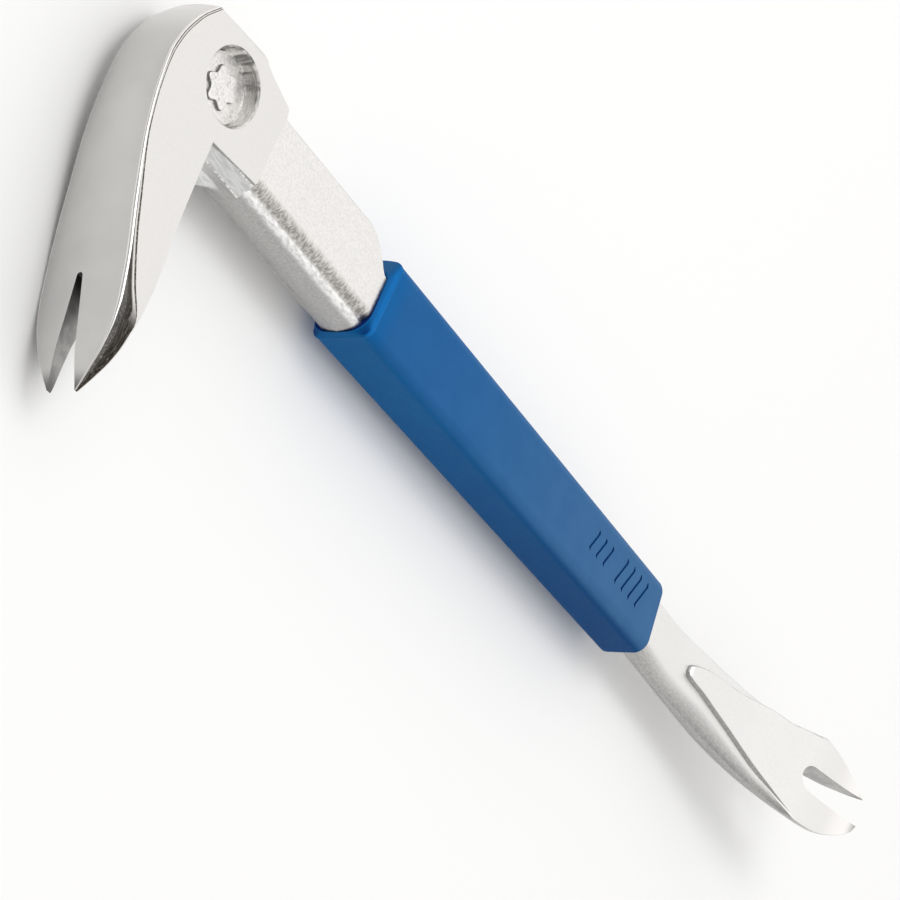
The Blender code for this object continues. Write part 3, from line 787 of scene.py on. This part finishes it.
def recess_cutter(side):
    """Round recess with a chamfered mouth and a raised rosette left on its floor."""
    floor = HEAD_HALF - RECESS_DEPTH
    foot = RECESS_RADIUS - RECESS_DRAFT
    outlines = ((foot - RECESS_ROUND, floor), (foot, floor + RECESS_ROUND),
                (RECESS_RADIUS, HEAD_HALF - RECESS_CHAMFER),
                (RECESS_RADIUS + 2 * RECESS_CHAMFER, HEAD_HALF + RECESS_CHAMFER))
    rings = [round_ring(radius, side * lift) for radius, lift in outlines]
    cutter = loft("recess", rings, [TURNED], (CAST, CHEEK))
    profile = ((0.0, floor - 1.0), (0.0, floor + 0.3 * ROSETTE_HEIGHT), (0.12, floor + 0.75 * ROSETTE_HEIGHT),
               (0.35, floor + 0.95 * ROSETTE_HEIGHT), (0.8, floor + ROSETTE_HEIGHT))
    rosette = [round_ring(ROSETTE_RADIUS, side * lift, ROSETTE_WAVE, inset) for inset, lift in profile]
    return combine(cutter, loft("rosette", rosette, [CAST], (CAST, CAST)), "DIFFERENCE")


def claw_notch():
    """Tapered slot between the tines of the head claw, its root slanting through the thickness."""
    tip = CLAW_TIP + NOTCH_OVERRUN
    rings = []
    for along, root, half_root, half_tip in CLAW_NOTCH:
        ring = []
        for k in range(9):
            angle = math.pi * k / 8
            ring.append((along, root - 0.8 * half_root * math.sin(angle), -half_root * math.cos(angle)))
        rings.append(ring + [(along, tip, half_tip), (along, tip, -half_tip)])
    return loft("notch", rings, [NOTCH], (NOTCH, NOTCH))


def blade_notch():
    """Round-ended slot between the tines of the straight claw."""
    start, middle = BLADE_NOTCH
    half = BLADE_NOTCH_HALF
    outline = []
    for k in range(25):
        angle = math.pi * (0.5 + k / 24.0)
        outline.append((start + half + half * math.cos(angle), middle - half * math.sin(angle)))
    outline.append((TIP_END + NOTCH_OVERRUN, middle + BLADE_NOTCH_TIP_HALF))
    outline.append((TIP_END + NOTCH_OVERRUN, middle - BLADE_NOTCH_TIP_HALF))
    rings = [[(a, d, z) for a, d in outline] for z in (-6.0, 26.0)]
    return loft("slot", rings, [SLOT], (SLOT, SLOT))


def steel_bar():
    """The whole steel bar as one closed mesh."""
    bar = head()
    combine(bar, shank(), "UNION")
    combine(bar, keel_root(), "UNION")
    straight = blade()
    combine(straight, fan(), "UNION")
    combine(straight, blade_notch(), "DIFFERENCE")
    combine(bar, straight, "UNION")
    combine(bar, recess_cutter(1.0), "DIFFERENCE")
    combine(bar, recess_cutter(-1.0), "DIFFERENCE")
    combine(bar, claw_notch(), "DIFFERENCE")
    return bar


def grip_ring(along, back, front, half, corner, crown, slant=0.0):
    """Rounded rectangular section of the sleeve with a crowned back."""
    back_corner = min(corner, GRIP_CORNER[0])
    ring = [(front, 0.0), (front, 0.5 * (half - corner))]
    for radius, drop, start in ((corner, front - corner, 0.0), (back_corner, back + back_corner, 90.0)):
        for k in range(9):
            angle = math.radians(start + 11.25 * k)
            ring.append((drop + radius * math.cos(angle), half - radius + radius * math.sin(angle)))
    for k in range(1, 5):
        ring.append((back, (half - back_corner) * (1.0 - k / 4.0)))
    points = []
    for drop, lift in ring:
        share = max(0.0, (front - drop) / (front - back))
        bulge = crown * max(0.0, 1.0 - (lift / half) ** 2) * smooth(0.75, 1.0, share)
        points.append((along - slant * share ** 1.5, drop - bulge, lift))
    return mirrored(points)


def grip_outside():
    """Outer form of the sleeve, from its mouth round the neck to its slanted end."""
    rings = [grip_ring(LIP_START, LIP_BACK, LIP_FRONT - 0.1, LIP_HALF, LIP_CORNER, 0.0),
             grip_ring(LIP_START + 0.4, LIP_BACK - 0.5, LIP_FRONT, LIP_HALF + 0.1, LIP_CORNER, 0.1)]
    bead = tuple((GRIP_START + BEAD_HALF * k / 4, -BEAD_RISE * math.cos(math.pi * k / 8))
                 for k in range(-4, 5))
    ends = ((GRIP_END - 0.6, 0.0), (GRIP_END - 0.3, 0.08), (GRIP_END - 0.08, 0.28), (GRIP_END, 0.5))
    middle = tuple((along, 0.0) for along in steps(GRIP_START + 3.0, GRIP_END - 3.0, 4.0))
    for along, trim in bead + middle + ends:
        t = (along - GRIP_START) / (GRIP_END - GRIP_START)
        slant = END_SLANT * smooth(*END_SLANTS, along) - MOUTH_SLANT * smooth(*MOUTH_SLANTS, along)
        rings.append(grip_ring(along, between(GRIP_BACK, t) + trim, between(GRIP_FRONT, t) - trim,
                               between(GRIP_HALF, t) - trim, between(GRIP_CORNER, t), GRIP_CROWN, slant))
    return loft("sleeve", rings, [0], slots=BLUE)


def grown(ring, by):
    """The ring moved outwards in its own plane."""
    middle = sum(p[1] for p in ring) / len(ring)
    count = len(ring)
    out = []
    for i, (along, drop, lift) in enumerate(ring):
        _, d0, z0 = ring[i - 1]
        _, d1, z1 = ring[(i + 1) % count]
        normal = (z1 - z0, -(d1 - d0))
        length = math.hypot(*normal) or 1.0
        sign = 1.0 if normal[0] * (drop - middle) + normal[1] * lift > 0.0 else -1.0
        out.append((along, drop + sign * by * normal[0] / length, lift + sign * by * normal[1] / length))
    return out


def mark(along, middle, reach):
    """Cutter for one short leaning groove in the upper face of the sleeve."""
    share = (along - GRIP_START) / (GRIP_END - GRIP_START)
    face = between(GRIP_HALF, share)
    rings = []
    for lift, wide in ((face - MARK_DEPTH, 0.5), (face + 1.0, 1.3)):
        sides = ([], [])
        for k in range(17):
            t = k / 8.0 - 1.0
            hook = MARK_HOOK * math.copysign(max(0.0, (abs(t) - 0.7) / 0.3) ** 2, t)
            half = 0.5 * wide * MARK_WIDTH * math.sqrt(1.0 - 0.94 * abs(t) ** 8)
            spine = along - MARK_LEAN * t * reach + hook
            for side, line in zip((-1.0, 1.0), sides):
                line.append((spine + side * half, middle + t * reach, lift))
        rings.append(sides[0] + sides[1][::-1])
    return loft("mark", rings, [0], slots=BLUE)


def sleeve():
    """The sleeve, hollowed to fit the neck and the tang, with its grooves cut in."""
    grip = grip_outside()
    section = web_outline()
    pocket = []
    for along in (LIP_START - 1.0, NECK[0], 67.5, 69.2, 70.9, NECK[1], SHANK_END + GAP):
        pocket.append(grown(mirrored(section_half(section, along, 0.0)), GAP * 0.5))
    combine(grip, loft("pocket", pocket, [0], slots=BLUE), "DIFFERENCE")
    bore = [grown(blade_ring(along, 0.0), GAP * 0.5) for along in steps(73.0, 206.0, 12.0)]
    combine(grip, loft("bore", bore, [0], slots=BLUE), "DIFFERENCE")
    for first, count, pitch, middle, reach in MARK_ROWS:
        for k in range(count):
            combine(grip, mark(first + k * pitch, middle, reach), "DIFFERENCE")
    return grip


def shade(obj, angle):
    """Smooth faces with folds kept sharp, and normals that follow the larger faces."""
    obj.data.shade_smooth()
    obj.data.set_sharp_from_angle(angle=math.radians(angle))
    weighted = obj.modifiers.new("weighted", "WEIGHTED_NORMAL")
    weighted.keep_sharp = True
    weighted.weight = 60


bar = steel_bar()
bar.name = "bar_steel"
shade(bar, 28.0)

grip = sleeve()
grip.name = "sleeve_rubber"
shade(grip, 40.0)

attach(bar, "root")
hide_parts("steel_bar")
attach(grip, "root")
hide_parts("cushion_grip")

# Floor, light and camera.
FLOOR_HALF = 3.0
KEY_TOWARDS = Vector((0.64, 0.46, 0.61)).normalized()
KEY_GLOW = 0.98
FAR_GLOW = 0.42
GLOW_FACING = (-0.35, 0.50)
ROOM_GLOW = 0.92


def floor():
    """Wide pale floor just under the bar."""
    mesh = bpy.data.meshes.new("floor")
    h = FLOOR_HALF
    mesh.from_pydata([(-h, -h, 0), (h, -h, 0), (h, h, 0), (-h, h, 0)], [], [(0, 1, 2, 3)])
    obj = bpy.data.objects.new("floor", mesh)
    bpy.context.scene.collection.objects.link(obj)
    obj.location.z = -0.0004
    nodes = Nodes("floor_pale")
    soft = nodes.noise(0.2, 2.0)
    nodes.link(nodes.mix(soft, grey(0.94, 0.0), grey(0.96, 0.0)), nodes.shader.inputs["Base Color"])
    nodes.shader.inputs["Roughness"].default_value = 0.9
    mesh.materials.append(nodes.material)
    return obj


def studio():
    """Soft surrounding light, brighter towards the key side, with a plain pale room behind."""
    world = bpy.data.worlds.new("studio")
    bpy.context.scene.world = world
    world.use_nodes = True
    tree = world.node_tree
    back = tree.nodes["Background"]
    where = tree.nodes.new("ShaderNodeTexCoord")
    dot = tree.nodes.new("ShaderNodeVectorMath")
    dot.operation = "DOT_PRODUCT"
    dot.inputs[1].default_value = KEY_TOWARDS
    tree.links.new(where.outputs["Generated"], dot.inputs[0])
    glow = tree.nodes.new("ShaderNodeMapRange")
    glow.interpolation_type = "SMOOTHSTEP"
    for name, number in zip(RANGE_INPUTS, (*GLOW_FACING, FAR_GLOW, KEY_GLOW)):
        glow.inputs[name].default_value = number
    tree.links.new(dot.outputs["Value"], glow.inputs["Value"])
    path = tree.nodes.new("ShaderNodeLightPath")
    pick = tree.nodes.new("ShaderNodeMix")
    tree.links.new(path.outputs["Is Camera Ray"], pick.inputs["Factor"])
    tree.links.new(glow.outputs["Result"], pick.inputs["A"])
    pick.inputs["B"].default_value = ROOM_GLOW
    tree.links.new(pick.outputs["Result"], back.inputs["Strength"])
    back.inputs["Color"].default_value = (1.0, 0.995, 0.985, 1.0)


def lamp(name, towards, distance, size, power):
    """Square soft light that faces the middle of the bar."""
    data = bpy.data.lights.new(name, "AREA")
    data.shape = "SQUARE"
    data.size = size
    data.energy = power
    obj = bpy.data.objects.new(name, data)
    bpy.context.scene.collection.objects.link(obj)
    direction = Vector(towards).normalized()
    obj.location = direction * distance
    obj.rotation_euler = direction.to_track_quat("Z", "Y").to_euler()
    return obj


# A long lens from far off, placed in design terms and turned in degrees.
LENS = 200.0
SENSOR = 36.0
CAMERA_PLACE = (-619.614, 539.648, 695.796)
CAMERA_TURN = (-0.3223, -52.4227, 36.0584)


def camera():
    """Camera at the photograph's viewing angle."""
    data = bpy.data.cameras.new("camera")
    data.lens = LENS
    data.sensor_width = SENSOR
    data.clip_start = 0.05
    data.clip_end = 20.0
    obj = bpy.data.objects.new("camera", data)
    bpy.context.scene.collection.objects.link(obj)
    turn = Euler([math.radians(angle) for angle in CAMERA_TURN])
    obj.matrix_world = Matrix.LocRotScale(Vector(place(*CAMERA_PLACE)), turn, None)
    bpy.context.scene.camera = obj


ground = floor()
studio()
lamp("top", (-0.25, 0.25, 1.0), 1.3, 0.6, 3.9)
camera()
bpy.context.scene.view_settings.view_transform = "Standard"
